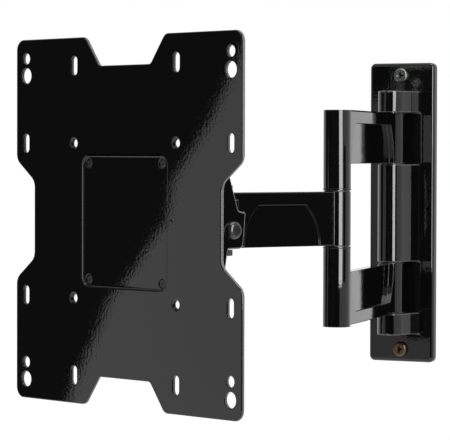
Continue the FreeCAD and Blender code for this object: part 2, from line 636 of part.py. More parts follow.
def pieces():
    """Every piece by name, with the body that it belongs to."""
    half_screws = WALL_SCREW_SPACING / 2
    column_pin = column_top - PLUG_THICKNESS - SEAT
    link_pin = link_top - PLUG_THICKNESS - SEAT
    yield "wall_plate", "wall", wall_plate()
    yield "wall_screw_top", "wall", wall_screw(half_screws)
    yield "wall_screw_bottom", "wall", wall_screw(-half_screws)
    yield "wall_pin", "wall", pin(PIN_RADIUS, -column_pin, column_pin, wall_axis)
    yield "elbow_pin", "inner_arm", pin(PIN_RADIUS, -link_pin, link_pin, elbow_axis)
    for name, sign in (("top", 1), ("bottom", -1)):
        yield f"wall_plug_{name}", "wall", plug(sign, sign * column_top, wall_axis)
        yield f"link_leg_{name}", "inner_arm", link_leg(sign)
        for rim, level, facing in (("outer", link_top, sign), ("inner", leg_bottom, -sign)):
            yield (f"wall_bush_{name}_{rim}", "inner_arm",
                   bush(facing, sign * level, wall_axis, PIN_RADIUS, bush_radius))
        yield f"elbow_plug_{name}", "inner_arm", plug(sign, sign * link_top, elbow_axis)
        low, high = sorted((sign * tube_bottom, sign * (tube_bottom - ELBOW_WASHER_THICKNESS)))
        yield (f"elbow_washer_{name}", "inner_arm",
               washer(ELBOW_WASHER_RADIUS, PIN_RADIUS + RUNNING, low, high, elbow_axis))
        end = sign * arm_top
        yield f"elbow_bush_{name}", "outer_arm", bush(sign, end, elbow_axis, PIN_RADIUS, bush_radius)
        yield f"head_bush_{name}", "outer_arm", bush(sign, end, head_axis, HEAD_PIN_RADIUS, head_bush_radius)
    yield "outer_arm", "outer_arm", outer_arm()
    yield "tilt_yoke", "head", tilt_yoke()
    yield "head_pin", "head", head_pin()
    yield "head_nut", "head", head_nut()
    for name, sign in (("right", 1), ("left", -1)):
        yield f"tilt_bolt_{name}", "head", tilt_bolt(sign)
        yield f"tilt_washer_{name}", "head", tilt_washer(sign)
        yield f"tilt_nut_{name}", "head", tilt_nut(sign)
    yield "tilt_bracket", "screen", tilt_bracket()
    yield "screen_plate", "screen", screen_plate()
    yield "plate_screws", "screen", Part.makeCompound([plate_screw(x, z) for x, z in screw_places()])
    yield "plate_nuts", "screen", Part.makeCompound([plate_nut(x, z) for x, z in screw_places()])


os.makedirs("parts", exist_ok=True)
for name, body, shape in pieces():
    shape = at_rest(shape, body)
    if not shape.isValid():
        raise ValueError(f"{name} is not a valid solid")
    shape.exportStep(f"parts/{name}.step")
    print(name, body, len(shape.Solids), round(shape.Volume))
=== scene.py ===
"""Dresses the articulated wall mount: gloss black paint, screws, nuts and a pale studio."""

import json
import math

import bmesh
import bpy
from bpy.props import FloatProperty, FloatVectorProperty, IntProperty, PointerProperty
from mathutils import Matrix, Vector


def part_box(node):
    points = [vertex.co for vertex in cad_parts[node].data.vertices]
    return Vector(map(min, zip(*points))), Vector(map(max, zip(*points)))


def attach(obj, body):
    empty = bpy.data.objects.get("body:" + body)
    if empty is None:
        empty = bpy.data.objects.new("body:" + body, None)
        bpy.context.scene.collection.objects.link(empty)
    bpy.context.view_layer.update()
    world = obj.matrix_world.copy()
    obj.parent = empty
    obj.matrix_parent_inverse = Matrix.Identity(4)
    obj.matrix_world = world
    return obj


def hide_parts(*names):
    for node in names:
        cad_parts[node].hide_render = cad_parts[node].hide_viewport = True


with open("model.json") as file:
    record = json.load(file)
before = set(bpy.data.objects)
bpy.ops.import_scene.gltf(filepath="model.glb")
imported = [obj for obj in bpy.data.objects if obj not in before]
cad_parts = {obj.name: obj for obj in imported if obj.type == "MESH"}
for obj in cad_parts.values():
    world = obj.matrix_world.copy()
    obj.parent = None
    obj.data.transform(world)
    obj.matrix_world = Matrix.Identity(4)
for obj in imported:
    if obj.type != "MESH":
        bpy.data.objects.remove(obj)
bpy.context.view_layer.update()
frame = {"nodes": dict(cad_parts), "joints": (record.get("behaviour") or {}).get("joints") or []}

bl_info = {
    "name": "Articulated Wall Mount",
    "version": (1, 0, 0),
    "blender": (4, 5, 0),
    "location": "View3D > Sidebar > Wall Mount",
    "description": "Paint, fasteners and studio for an articulated screen mount",
    "category": "Object",
}

JOINTS = {joint["name"]: joint for joint in frame["joints"]}
WALL_HINGE = Vector(JOINTS["wall_swing"]["pos_m"])
ELBOW_HINGE = Vector(JOINTS["elbow_swing"]["pos_m"])
HEAD_HINGE = Vector(JOINTS["head_swing"]["pos_m"])
TILT_PIVOT = Vector(JOINTS["screen_tilt"]["pos_m"])
TILT_AXIS = Vector(JOINTS["screen_tilt"]["axis"]).normalized()
UP = Vector((0, 0, 1))
MM = 0.001

# The front face of the wall bracket's flat plate
BRACKET_FRONT = -7.0 * MM

# The screen plate's front face: its outward direction, its centre, and the tilt pivot's depth
# behind it
PLATE_OUT = TILT_AXIS.cross(UP)
PLATE_REACH = 78 * MM
PLATE_CENTRE = Vector((HEAD_HINGE.x, HEAD_HINGE.y, 0)) + PLATE_OUT * PLATE_REACH
TILT_DEPTH = (PLATE_CENTRE - TILT_PIVOT).dot(PLATE_OUT)


# Sizes and colours that a user would change

class MountPaint(bpy.types.PropertyGroup):
    """The gloss paint of the bracket, arms, head and screen plate."""
    colour: FloatVectorProperty(
        name="Paint colour", description="Colour of the gloss paint", subtype="COLOR", size=3,
        min=0, max=1, default=(0.0021, 0.0019, 0.0020))
    # Painted highlight: the paler colour that rounded and cut edges get, standing in for the light
    # they catch
    edge_highlight_colour: FloatVectorProperty(
        name="Edge colour", description="Colour of the thin coat on rounded and cut edges",
        subtype="COLOR", size=3, min=0, max=1, default=(0.070, 0.070, 0.067))
    roughness: FloatProperty(
        name="Roughness", description="Blur of the reflections", min=0, max=1, default=0.02)
    peel_size: FloatProperty(
        name="Orange peel size", description="Width of one wave of the paint's orange peel",
        unit="LENGTH", min=0.0005, max=0.02, default=0.0019)
    peel_depth: FloatProperty(
        name="Orange peel depth", description="Height of the waves of the orange peel",
        unit="LENGTH", min=0, max=0.001, precision=6, default=0.0000125)
    sheet_edge: FloatProperty(
        name="Sheet edge radius", description="Rounding of cut sheet edges under the paint",
        unit="LENGTH", min=0, max=0.002, precision=5, default=0.00042)
    cast_edge: FloatProperty(
        name="Cast edge radius", description="Rounding of the arms' edges under the paint",
        unit="LENGTH", min=0, max=0.002, precision=5, default=0.0003)


class MountFasteners(bpy.types.PropertyGroup):
    """Screws, nuts, pins and bushes."""
    zinc: FloatVectorProperty(
        name="Zinc colour", description="Colour of the upper wall screw and the nuts",
        subtype="COLOR", size=3, min=0, max=1, default=(0.13, 0.145, 0.13))
    bronze: FloatVectorProperty(
        name="Bronze colour", description="Colour of the lower wall screw", subtype="COLOR",
        size=3, min=0, max=1, default=(0.085, 0.062, 0.045))
    steel: FloatVectorProperty(
        name="Steel colour", description="Colour of the wall and elbow pins", subtype="COLOR",
        size=3, min=0, max=1, default=(0.42, 0.41, 0.40))
    nylon: FloatVectorProperty(
        name="Nylon colour", description="Colour of the bushes and plugs", subtype="COLOR",
        size=3, min=0, max=1, default=(0.012, 0.012, 0.0125))
    wood_pitch: FloatProperty(
        name="Wood screw pitch", description="Distance between turns of the wall screws' thread",
        unit="LENGTH", min=0.0005, max=0.01, default=0.0028)
    wood_depth: FloatProperty(
        name="Wood screw thread depth", description="Height of the wall screws' thread",
        unit="LENGTH", min=0, max=0.002, precision=5, default=0.0007)
    machine_pitch: FloatProperty(
        name="Machine thread pitch", description="Distance between turns of the head pin's thread",
        unit="LENGTH", min=0.0003, max=0.003, precision=5, default=0.00125)
    turns_steps: IntProperty(
        name="Steps in a turn", description="Facets in one turn of a thread or a round piece",
        min=12, max=96, default=32)


class MountStage(bpy.types.PropertyGroup):
    """Camera, lamps and surroundings."""
    focal: FloatProperty(
        name="Focal length", description="Focal length on a 36 mm wide frame, in millimetres",
        min=20, max=400, default=210.376)
    key_power: FloatProperty(
        name="Key power", description="Power of the tall softbox on the right", unit="POWER",
        min=0, max=500, default=6)
    fill_power: FloatProperty(
        name="Fill power", description="Power of the soft fill from the front", unit="POWER",
        min=0, max=500, default=10)
    top_power: FloatProperty(
        name="Top power", description="Power of the overhead softbox", unit="POWER",
        min=0, max=500, default=14)
    floor_drop: FloatProperty(
        name="Floor height", description="Height of the floor, below the mount's centre",
        unit="LENGTH", min=-3, max=0, default=-0.42)


def settings():
    """The scene's property groups for paint, fasteners and stage."""
    scene = bpy.context.scene
    return scene.mount_paint, scene.mount_fasteners, scene.mount_stage


# Shader groups

def new_group(name, inputs, outputs):
    """An empty shader node group with named sockets."""
    group = bpy.data.node_groups.new(name, "ShaderNodeTree")
    for label, default in inputs:
        socket = group.interface.new_socket(label, in_out="INPUT", socket_type="NodeSocketFloat")
        socket.default_value = default
    for label, kind in outputs:
        group.interface.new_socket(label, in_out="OUTPUT", socket_type=kind)
    return group, group.nodes.new("NodeGroupInput"), group.nodes.new("NodeGroupOutput")


def add(tree, kind, **values):
    """A node with its properties set."""
    node = tree.nodes.new(kind)
    for name, value in values.items():
        setattr(node, name, value)
    return node


def math_node(tree, operation, first, second):
    """A Math node; each input is a socket or a number."""
    node = add(tree, "ShaderNodeMath", operation=operation)
    for socket, value in zip(node.inputs, (first, second)):
        if isinstance(value, bpy.types.NodeSocket):
            tree.links.new(value, socket)
        else:
            socket.default_value = value
    return node.outputs[0]


def between(tree, value, low, high):
    """A mask that rises from 0 to 1 between two values."""
    node = add(tree, "ShaderNodeMapRange")
    node.inputs["From Min"].default_value = low
    node.inputs["From Max"].default_value = high
    tree.links.new(value, node.inputs["Value"])
    return node.outputs["Result"]


def surface_relief():
    """Soft waves with a finer ripple on them: orange peel in paint, or the grain of plastic."""
    group, given, made = new_group(
        "surface_relief",
        [("Wave Size", 0.004), ("Wave Depth", 0.00001), ("Ripple", 0.3)],
        [("Normal", "NodeSocketVector")])
    place = add(group, "ShaderNodeTexCoord")
    scale = math_node(group, "DIVIDE", 1.0, given.outputs["Wave Size"])
    wave = add(group, "ShaderNodeTexNoise")
    ripple = add(group, "ShaderNodeTexNoise")
    wave.inputs["Detail"].default_value = 1.0
    ripple.inputs["Detail"].default_value = 2.0
    group.links.new(place.outputs["Object"], wave.inputs["Vector"])
    group.links.new(place.outputs["Object"], ripple.inputs["Vector"])
    group.links.new(scale, wave.inputs["Scale"])
    ripples_in_wave = 3.1
    finer = math_node(group, "MULTIPLY", scale, ripples_in_wave)
    group.links.new(finer, ripple.inputs["Scale"])
    small = math_node(group, "MULTIPLY", ripple.outputs["Fac"], given.outputs["Ripple"])
    height = math_node(group, "ADD", wave.outputs["Fac"], small)
    bump = add(group, "ShaderNodeBump")
    bump.inputs["Strength"].default_value = 1.0
    group.links.new(given.outputs["Wave Depth"], bump.inputs["Distance"])
    group.links.new(height, bump.inputs["Height"])
    group.links.new(bump.outputs["Normal"], made.inputs["Normal"])
    return group


def marks_and_edge_highlight():
    """A mask of faint smudges, and one of fine dust together with a painted highlight on rounded or
    cut edges.
    """
    group, given, made = new_group(
        "marks_and_edge_highlight",
        [("Smudge Size", 0.03), ("Dust", 0.2), ("Edge", 0.5)],
        [("Smudge", "NodeSocketFloat"), ("Dust_and_Edge_Highlight", "NodeSocketFloat")])
    place = add(group, "ShaderNodeTexCoord")
    smudge = add(group, "ShaderNodeTexNoise")
    smudge.inputs["Detail"].default_value = 3.0
    smudge.inputs["Distortion"].default_value = 0.6
    dust = add(group, "ShaderNodeTexNoise")
    dust.inputs["Scale"].default_value = 2600.0
    dust.inputs["Detail"].default_value = 1.0
    group.links.new(place.outputs["Object"], smudge.inputs["Vector"])
    group.links.new(place.outputs["Object"], dust.inputs["Vector"])
    scale = math_node(group, "DIVIDE", 1.0, given.outputs["Smudge Size"])
    group.links.new(scale, smudge.inputs["Scale"])
    soft = between(group, smudge.outputs["Fac"], low=0.42, high=0.72)
    specks = between(group, dust.outputs["Fac"], low=0.70, high=0.80)
    dusted = math_node(group, "MULTIPLY", specks, given.outputs["Dust"])
    # Painted highlight: the edge attribute, weighted by the Edge input, lightens rounded and cut
    # edges
    edge = add(group, "ShaderNodeAttribute", attribute_name="edge")
    edge_highlight = math_node(group, "MULTIPLY", edge.outputs["Fac"], given.outputs["Edge"])
    group.links.new(soft, made.inputs["Smudge"])
    group.links.new(math_node(group, "MAXIMUM", dusted, edge_highlight), made.inputs["Dust_and_Edge_Highlight"])
    return group


def machined_grain():
    """Fine turning or drawing lines: a value that shifts the roughness and a normal."""
    group, given, made = new_group(
        "machined_grain",
        [("Line Size", 0.0003), ("Depth", 0.000002)],
        [("Value", "NodeSocketFloat"), ("Normal", "NodeSocketVector")])
    place = add(group, "ShaderNodeTexCoord")
    stretch = add(group, "ShaderNodeMapping")
    stretch.inputs["Scale"].default_value = (1.0, 1.0, 9.0)
    lines = add(group, "ShaderNodeTexNoise")
    lines.inputs["Detail"].default_value = 4.0
    group.links.new(place.outputs["Object"], stretch.inputs["Vector"])
    group.links.new(stretch.outputs["Vector"], lines.inputs["Vector"])
    scale = math_node(group, "DIVIDE", 1.0, given.outputs["Line Size"])
    group.links.new(scale, lines.inputs["Scale"])
    bump = add(group, "ShaderNodeBump")
    group.links.new(given.outputs["Depth"], bump.inputs["Distance"])
    group.links.new(lines.outputs["Fac"], bump.inputs["Height"])
    group.links.new(lines.outputs["Fac"], made.inputs["Value"])
    group.links.new(bump.outputs["Normal"], made.inputs["Normal"])
    return group


GROUP_MAKERS = {"surface_relief": surface_relief, "marks_and_edge_highlight": marks_and_edge_highlight,
                "machined_grain": machined_grain}


def place_group(tree, name, **values):
    """A shader group placed in a material with its own values; the group is built once."""
    node = add(tree, "ShaderNodeGroup")
    node.node_tree = bpy.data.node_groups.get(name) or GROUP_MAKERS[name]()
    for label, value in values.items():
        node.inputs[label.replace("_", " ")].default_value = value
    return node


def mixed_colour(tree, factor, plain, changed, target):
    """Feeds a colour socket with a mix of two colours."""
    mix = add(tree, "ShaderNodeMix", data_type="RGBA")
    mix.inputs["A"].default_value = (*plain, 1)
    mix.inputs["B"].default_value = (*changed, 1)
    tree.links.new(factor, mix.inputs["Factor"])
    tree.links.new(mix.outputs["Result"], target)


def ranged(tree, value, low, high, target):
    """Feeds a value socket with a mask mapped to a range."""
    node = add(tree, "ShaderNodeMapRange")
    node.inputs["To Min"].default_value = low
    node.inputs["To Max"].default_value = high
    tree.links.new(value, node.inputs["Value"])
    tree.links.new(node.outputs["Result"], target)


def new_material(name, ior=1.5, metallic=0.0):
    """A material with its node tree and Principled shader, or without them where it exists."""
    material = bpy.data.materials.get(name)
    if material:
        return material, None, None
    material = bpy.data.materials.new(name)
    material.use_nodes = True
    tree = material.node_tree
    shader = tree.nodes["Principled BSDF"]
    shader.inputs["IOR"].default_value = ior
    shader.inputs["Metallic"].default_value = metallic
    return material, tree, shader


def painted(name, colour, peel, roughness):
    """Paint with orange peel, faint smudges and a painted highlight: a paler colour on the edges.
    """
    paint = settings()[0]
    material, tree, shader = new_material(name, ior=1.46)
    if tree is None:
        return material
    relief = place_group(tree, "surface_relief", Wave_Size=paint.peel_size,
                         Wave_Depth=paint.peel_depth * peel, Ripple=0.22)
    tree.links.new(relief.outputs["Normal"], shader.inputs["Normal"])
    marks = place_group(tree, "marks_and_edge_highlight", Smudge_Size=0.035, Dust=0.0, Edge=1.0)
    smudged = roughness * 1.7
    ranged(tree, marks.outputs["Smudge"], roughness, smudged, shader.inputs["Roughness"])
    # Painted highlight: the edges' mask mixes the paint towards the paler edge colour
    mixed_colour(tree, marks.outputs["Dust_and_Edge_Highlight"], colour, paint.edge_highlight_colour,
                 shader.inputs["Base Color"])
    return material


def plated(name, colour, tarnish, roughness):
    """Plated or ground metal with turning lines, tarnished patches and painted shade in the driver
    recesses.
    """
    material, tree, shader = new_material(name, metallic=1.0)
    if tree is None:
        return material
    grain = place_group(tree, "machined_grain", Line_Size=0.00035, Depth=0.0000016)
    tree.links.new(grain.outputs["Normal"], shader.inputs["Normal"])
    marks = place_group(tree, "marks_and_edge_highlight", Smudge_Size=0.004, Dust=0.35, Edge=0.4)
    # Painted shade: the marked recess is mixed towards near black
    recess = add(tree, "ShaderNodeAttribute", attribute_name="recess")
    dark = add(tree, "ShaderNodeMix", data_type="RGBA")
    dark.inputs["B"].default_value = (0.004, 0.004, 0.004, 1)
    tree.links.new(recess.outputs["Fac"], dark.inputs["Factor"])
    mixed_colour(tree, marks.outputs["Smudge"], colour, tarnish, dark.inputs["A"])
    tree.links.new(dark.outputs["Result"], shader.inputs["Base Color"])
    smooth, coarse = roughness * 0.7, roughness * 1.4
    ranged(tree, grain.outputs["Value"], smooth, coarse, shader.inputs["Roughness"])
    return material


def moulded(name, colour, roughness):
    """Moulded nylon with a fine spark-eroded grain."""
    material, tree, shader = new_material(name, ior=1.53)
    if tree is None:
        return material
    relief = place_group(tree, "surface_relief", Wave_Size=0.0006, Wave_Depth=0.000012,
                         Ripple=0.6)
    tree.links.new(relief.outputs["Normal"], shader.inputs["Normal"])
    marks = place_group(tree, "marks_and_edge_highlight", Smudge_Size=0.01, Dust=0.3, Edge=0.5)
    # Paler on dust specks, and on rounded edges as a painted highlight
    lighter = tuple(min(1.0, value * 2.2 + 0.004) for value in colour)
    mixed_colour(tree, marks.outputs["Dust_and_Edge_Highlight"], colour, lighter, shader.inputs["Base Color"])
    rubbed = roughness * 0.8
    ranged(tree, marks.outputs["Smudge"], roughness, rubbed, shader.inputs["Roughness"])
    return material


def finishes():
    """The materials of the mount, by the record's slots; the bronze screw's is one more."""
    paint, fasteners = settings()[:2]
    return {
        "black_paint": painted("gloss_black_paint", paint.colour, peel=1.0,
                               roughness=paint.roughness),
        "black_bolt": painted("black_bolt_finish", (0.012, 0.0115, 0.012), peel=0.6,
                              roughness=0.16),
        "zinc_screw": plated("dark_zinc", fasteners.zinc, tarnish=(0.11, 0.115, 0.10),
                             roughness=0.36),
        "bronze_screw": plated("bronze_zinc", fasteners.bronze, tarnish=(0.10, 0.055, 0.03),
                               roughness=0.34),
        "steel_pin": plated("ground_steel", fasteners.steel, tarnish=(0.30, 0.29, 0.28),
                            roughness=0.24),
        "black_nylon": moulded("black_nylon_grain", fasteners.nylon, roughness=0.42),
    }


# Mesh tools


def finish_piece(bm, name, finish, body, replaced=()):
    """Turns a bmesh into a piece that rides on a body and stands for CAD nodes."""
    mesh = bpy.data.meshes.new(name)
    bm.to_mesh(mesh)
    bm.free()
    mesh.materials.append(finishes()[finish])
    piece = bpy.data.objects.new(name, mesh)
    bpy.context.scene.collection.objects.link(piece)
    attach(piece, body)
    if replaced:
        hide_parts(*replaced)
    return piece


def coat_node(node, finish):
    """Gives a CAD node that keeps its own mesh a finish."""
    frame["nodes"][node].material_slots[0].material = finishes()[finish]


def shade(bm, sharp_angle=math.radians(38)):
    """Smooth shading, broken at sharp edges."""
    for face in bm.faces:
        face.smooth = True
    for edge in bm.edges:
        edge.smooth = not edge.is_manifold or edge.calc_face_angle(0) < sharp_angle


def weigh_normals(piece):
    """Keeps flat faces flat next to their rounded edges."""
    modifier = piece.modifiers.new("face_weighted_normals", "WEIGHTED_NORMAL")
    modifier.mode = "FACE_AREA"
    modifier.keep_sharp = True
    return piece


def round_edges(bm, radius, segments, least, rim_highlight):
    """Rounds the edges that turn by more than an angle, and marks the rounded faces with the
    strength of a painted highlight.
    """
    layer = bm.faces.layers.float.get("edge") or bm.faces.layers.float.new("edge")
    edges = [edge for edge in bm.edges if edge.is_manifold and edge.calc_face_angle(0) > least]
    made = bmesh.ops.bevel(bm, geom=edges, offset=radius, offset_type="OFFSET", affect="EDGES",
                           segments=segments, profile=0.5, material=-1, clamp_overlap=False)
    for face in made["faces"]:
        face[layer] = rim_highlight


def join_flat_faces(bm):
    """Joins the triangles of each flat face."""
    bmesh.ops.dissolve_limit(bm, angle_limit=math.radians(0.4), verts=bm.verts, edges=bm.edges,
                             use_dissolve_boundaries=False)


def merged_node(node):
    """A closed bmesh of a CAD node, with the triangles of each flat face joined."""
    bm = bmesh.new()
    bm.from_mesh(frame["nodes"][node].data)
    bmesh.ops.remove_doubles(bm, verts=bm.verts, dist=0.002 * MM)
    join_flat_faces(bm)
    return bm


def dressed_node(node, name, finish, body, radius, segments=2, least=math.radians(32), shape=None,
                 rim_highlight=1.0):
    """A painted or plated piece in the shape of a CAD node, with its edges rounded.

    The last argument sets how strong the painted highlight on the rounded edges is, from 0 to 1.
    """
    bm = merged_node(node)
    if shape:
        bm = shape(bm)
    round_edges(bm, radius, segments, least, rim_highlight)
    shade(bm)
    return weigh_normals(finish_piece(bm, name, finish, body, [node]))


def axis_matrix(origin, axis, side=None):
    """A matrix that takes local Z to an axis through an origin."""
    z = axis.normalized()
    x = (side or (UP if abs(z.z) < 0.9 else Vector((1, 0, 0)))).normalized()
    x = (x - z * x.dot(z)).normalized()
    y = z.cross(x)
    return Matrix.Translation(origin) @ Matrix((x, y, z)).transposed().to_4x4()


def spun_profile(bm, profile, steps):
    """A solid of revolution about Z from a list of radius and height, closed on the axis."""
    verts = [bm.verts.new((radius, 0, height)) for radius, height in profile]
    edges = [bm.edges.new(pair) for pair in zip(verts, verts[1:])]
    bmesh.ops.spin(bm, geom=verts + edges, cent=(0, 0, 0), axis=(0, 0, 1), angle=math.tau,
                   steps=steps, use_merge=True, use_duplicate=False)
    bmesh.ops.remove_doubles(bm, verts=bm.verts, dist=0.001 * MM)
    bmesh.ops.recalc_face_normals(bm, faces=bm.faces)


def helical_thread(radius, depth, pitch, length, steps, taper=0.0):
    """A thread ridge about Z, from 0 to a length; taper shrinks the radius along it."""
    bm = bmesh.new()
    half_root = pitch * 0.32
    half_crest = half_root * 0.15
    inside = radius - depth * 0.35
    crest = radius + depth
    profile = [(inside, -half_root), (crest, -half_crest), (crest, half_crest), (inside, half_root)]
    first = bm.faces.new([bm.verts.new((r, 0, z)) for r, z in profile])
    turns = length / pitch
    total = max(4, round(turns * steps))
    bmesh.ops.spin(bm, geom=[first], cent=(0, 0, 0), axis=(0, 0, 1), dvec=(0, 0, length / total),
                   angle=math.tau * turns, steps=total, use_merge=False, use_duplicate=False)
    run_in = pitch * 0.8
    for vert in bm.verts:
        end = min(vert.co.z, length - vert.co.z)
        r = math.hypot(vert.co.x, vert.co.y)
        rise = min(1.0, max(0.0, (end + half_root) / run_in))
        wanted = inside + (r - inside) * rise - taper * max(0.0, vert.co.z / length)
        vert.co.x *= wanted / r
        vert.co.y *= wanted / r
    bmesh.ops.recalc_face_normals(bm, faces=bm.faces)
    return bm


def carved(bm, cutter):
    """The bmesh less the space of a cutter."""
    blocks = []
    for part, name in ((bm, "blank"), (cutter, "cutter")):
        mesh = bpy.data.meshes.new(name)
        part.to_mesh(mesh)
        part.free()
        block = bpy.data.objects.new(name, mesh)
        bpy.context.scene.collection.objects.link(block)
        blocks.append(block)
    blank, tool = blocks
    cut = blank.modifiers.new("cut", "BOOLEAN")
    cut.operation = "DIFFERENCE"
    cut.solver = "EXACT"
    cut.object = tool
    shaped = blank.evaluated_get(bpy.context.evaluated_depsgraph_get())
    result = bpy.data.meshes.new_from_object(shaped)
    done = bmesh.new()
    done.from_mesh(result)
    for block in blocks:
        mesh = block.data
        bpy.data.objects.remove(block)
        bpy.data.meshes.remove(mesh)
    bpy.data.meshes.remove(result)
    return done


def hex_nut(flats, height, collar, bore, steps):
    """A lock nut about Z from 0 up: chamfered hexagon, crowned collar and a bore."""
    bm = bmesh.new()
    corner = flats / math.sqrt(3)
    bmesh.ops.create_cone(bm, cap_ends=True, segments=6, radius1=corner, radius2=corner,
                          depth=height)
    bmesh.ops.translate(bm, verts=bm.verts, vec=(0, 0, height / 2))
    chamfer = flats * 0.062
    bmesh.ops.bevel(bm, geom=bm.verts[:], offset=chamfer, affect="VERTICES", segments=1,
                    profile=0.5, material=-1)
    outside = flats * 0.43
    base, shoulder, crown = height * 0.98, height + collar * 0.55, height + collar * 0.9
    top, insert = height + collar, height + collar * 0.8
    spun_profile(bm, [
        (0, base), (outside, base), (outside, shoulder), (outside * 0.93, crown),
        (outside * 0.84, top), (bore * 1.08, top), (bore * 1.02, insert), (0, insert)], steps)
    return bm


def moved(bm, matrix):
    """The bmesh turned and placed by a matrix."""
    bmesh.ops.transform(bm, matrix=matrix, verts=bm.verts)
    return bm


def joined(parts):
    """One bmesh from several."""
    whole = bmesh.new()
    for part in parts:
        mesh = bpy.data.meshes.new("part")
        part.to_mesh(mesh)
        part.free()
        whole.from_mesh(mesh)
        bpy.data.meshes.remove(mesh)
    return whole


# The pieces of the mount

# Rounding of the small pieces' edges
PLUG_EDGE = 0.15 * MM
WASHER_EDGE = 0.18 * MM
WALL_SCREW_EDGE = 0.12 * MM
TILT_BOLT_EDGE = 0.2 * MM
PLATE_SCREW_EDGE = 0.1 * MM

# Rounding of the large ones, as a multiple of the user's cast or sheet edge radius
BRACKET_ROUNDING = 3
PLATE_ROUNDING = 1.8
WING_ROUNDING = 2.4

# The least turn, in radians, of an edge that is rounded on the small pieces
PLUG_TURN = 0.9
BOLT_TURN = 0.7
SCREW_TURN = 0.6

# The lock nuts: width over flats and bore radius of the large and the small ones, and the
# angle from which an edge stays sharp
NUT_FLATS, NUT_BORE = 13 * MM, 4 * MM
SMALL_NUT_FLATS, SMALL_NUT_BORE = 7 * MM, 2 * MM
NUT_SHARP = math.radians(25)


def flare_column(bm):
    """Gives the sides of the column a draft, wider towards the bracket."""
    nose, foot, bend, tolerance = 10.0 * MM, 14.5 * MM, 6.2 * MM, 0.01 * MM
    front, root = WALL_HINGE.y, BRACKET_FRONT
    for vert in bm.verts:
        reach = abs(vert.co.x)
        on_side = nose - 0.1 * MM < reach < nose + bend
        if on_side and front < vert.co.y < root - tolerance:
            drafted = nose + (foot - nose) * (vert.co.y - front) / (root - front)
            vert.co.x = math.copysign(max(reach, drafted), vert.co.x)
    return bm


class MOUNT_OT_wall_bracket(bpy.types.Operator):
    """Dress the wall bracket with its column and end plugs"""
    bl_idname = "mount.wall_bracket"
    bl_label = "Wall Bracket"

    def execute(self, context):
        paint = settings()[0]
        dressed_node("wall_plate", "wall_bracket_paint", "black_paint", "wall",
                     paint.cast_edge * BRACKET_ROUNDING, shape=flare_column, rim_highlight=0.6)
        for end in ("top", "bottom"):
            dressed_node(f"wall_plug_{end}", f"wall_plug_{end}_cap", "black_nylon", "wall",
                         PLUG_EDGE, least=PLUG_TURN)
        coat_node("wall_pin", "steel_pin")
        return {"FINISHED"}


def mark_recess(bm):
    """Marks the driver recess of a wall screw, which a painted shade darkens."""
    layer = bm.verts.layers.float.new("recess")
    middle = sum((vert.co.z for vert in bm.verts), 0.0) / len(bm.verts)
    face = min(vert.co.y for vert in bm.verts)
    radius, lip, floor = 2.9 * MM, 0.3 * MM, -7.5 * MM
    for vert in bm.verts:
        inside = math.hypot(vert.co.x, vert.co.z - middle) < radius
        if inside and face + lip < vert.co.y < floor:
            vert[layer] = 1.0
    return bm


class MOUNT_OT_wall_screws(bpy.types.Operator):
    """Dress the wall screws and give them their wood thread"""
    bl_idname = "mount.wall_screws"
    bl_label = "Wall Screws"

    def execute(self, context):
        fasteners = settings()[1]
        start, point, root, taper = 4 * MM, 7 * MM, 3.1 * MM, 2.1 * MM
        ridge = fasteners.wood_depth * 0.6
        pitch, steps = fasteners.wood_pitch, fasteners.turns_steps
        for end, finish in (("top", "zinc_screw"), ("bottom", "bronze_screw")):
            node = f"wall_screw_{end}"
            low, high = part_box(node)
            centre = (low + high) / 2
            dressed_node(node, f"wall_screw_{end}_head", finish, "wall", WALL_SCREW_EDGE,
                         least=SCREW_TURN, shape=mark_recess)
            straight = high.y - point - start
            shank = helical_thread(root, ridge, pitch, straight, steps)
            tip = helical_thread(root, ridge, pitch, point * 0.8, steps, taper)
            thread = joined([shank, moved(tip, Matrix.Translation((0, 0, straight)))])
            moved(thread, axis_matrix(Vector((centre.x, start, centre.z)), Vector((0, 1, 0))))
            shade(thread)
            finish_piece(thread, f"wall_screw_{end}_thread", finish, "wall")
        return {"FINISHED"}


def deepen_pockets(bm):
    """Slopes the floors of a leg's pockets, deeper towards the wall."""
    near = Vector((ELBOW_HINGE.x, ELBOW_HINGE.y, 0))
    run = Vector((WALL_HINGE.x, WALL_HINGE.y, 0)) - near
    reach = run.length
    along = run / reach
    across = UP.cross(along)
    start, stop = 18.5 * MM, reach - 18.5 * MM
    floor, extra, tolerance = 4.8 * MM, 2.4 * MM, 0.02 * MM
    for vert in bm.verts:
        place = vert.co - near
        forward = place.dot(along)
        side = place.dot(across)
        if start < forward < stop and abs(abs(side) - floor) < tolerance:
            deeper = extra * (forward - start) / (stop - start)
            vert.co -= across * math.copysign(deeper, side)
    return bm


class MOUNT_OT_arms(bpy.types.Operator):
    """Dress both arms, their washers, plugs, pins and bushes"""
    bl_idname = "mount.arms"
    bl_label = "Arms"

    def execute(self, context):
        paint = settings()[0]
        for end in ("top", "bottom"):
            dressed_node(f"link_leg_{end}", f"inner_arm_{end}_paint", "black_paint", "inner_arm",
                         paint.cast_edge, shape=deepen_pockets, rim_highlight=0.15)
            dressed_node(f"elbow_plug_{end}", f"elbow_plug_{end}_cap", "black_nylon", "inner_arm",
                         PLUG_EDGE, least=PLUG_TURN)
            dressed_node(f"elbow_washer_{end}", f"elbow_washer_{end}_ring", "black_paint",
                         "inner_arm", WASHER_EDGE, rim_highlight=0.3)
            for bush in (f"wall_bush_{end}_outer", f"wall_bush_{end}_inner", f"elbow_bush_{end}",
                         f"head_bush_{end}"):
                coat_node(bush, "black_nylon")
        dressed_node("outer_arm", "outer_arm_paint", "black_paint", "outer_arm", paint.cast_edge,
                     rim_highlight=0.0)
        coat_node("elbow_pin", "steel_pin")
        return {"FINISHED"}


# What is cut from each side of the yoke's web, in millimetres: from and to which distance from
# the head hinge, and between which heights
YOKE_CUTS = ((12.5, 50.0, ((14.0, 30.0), (-30.0, -15.5))),
             (35.0, 50.0, ((6.5, 20.0),)))
YOKE_CUT_DEPTH = 60 * MM


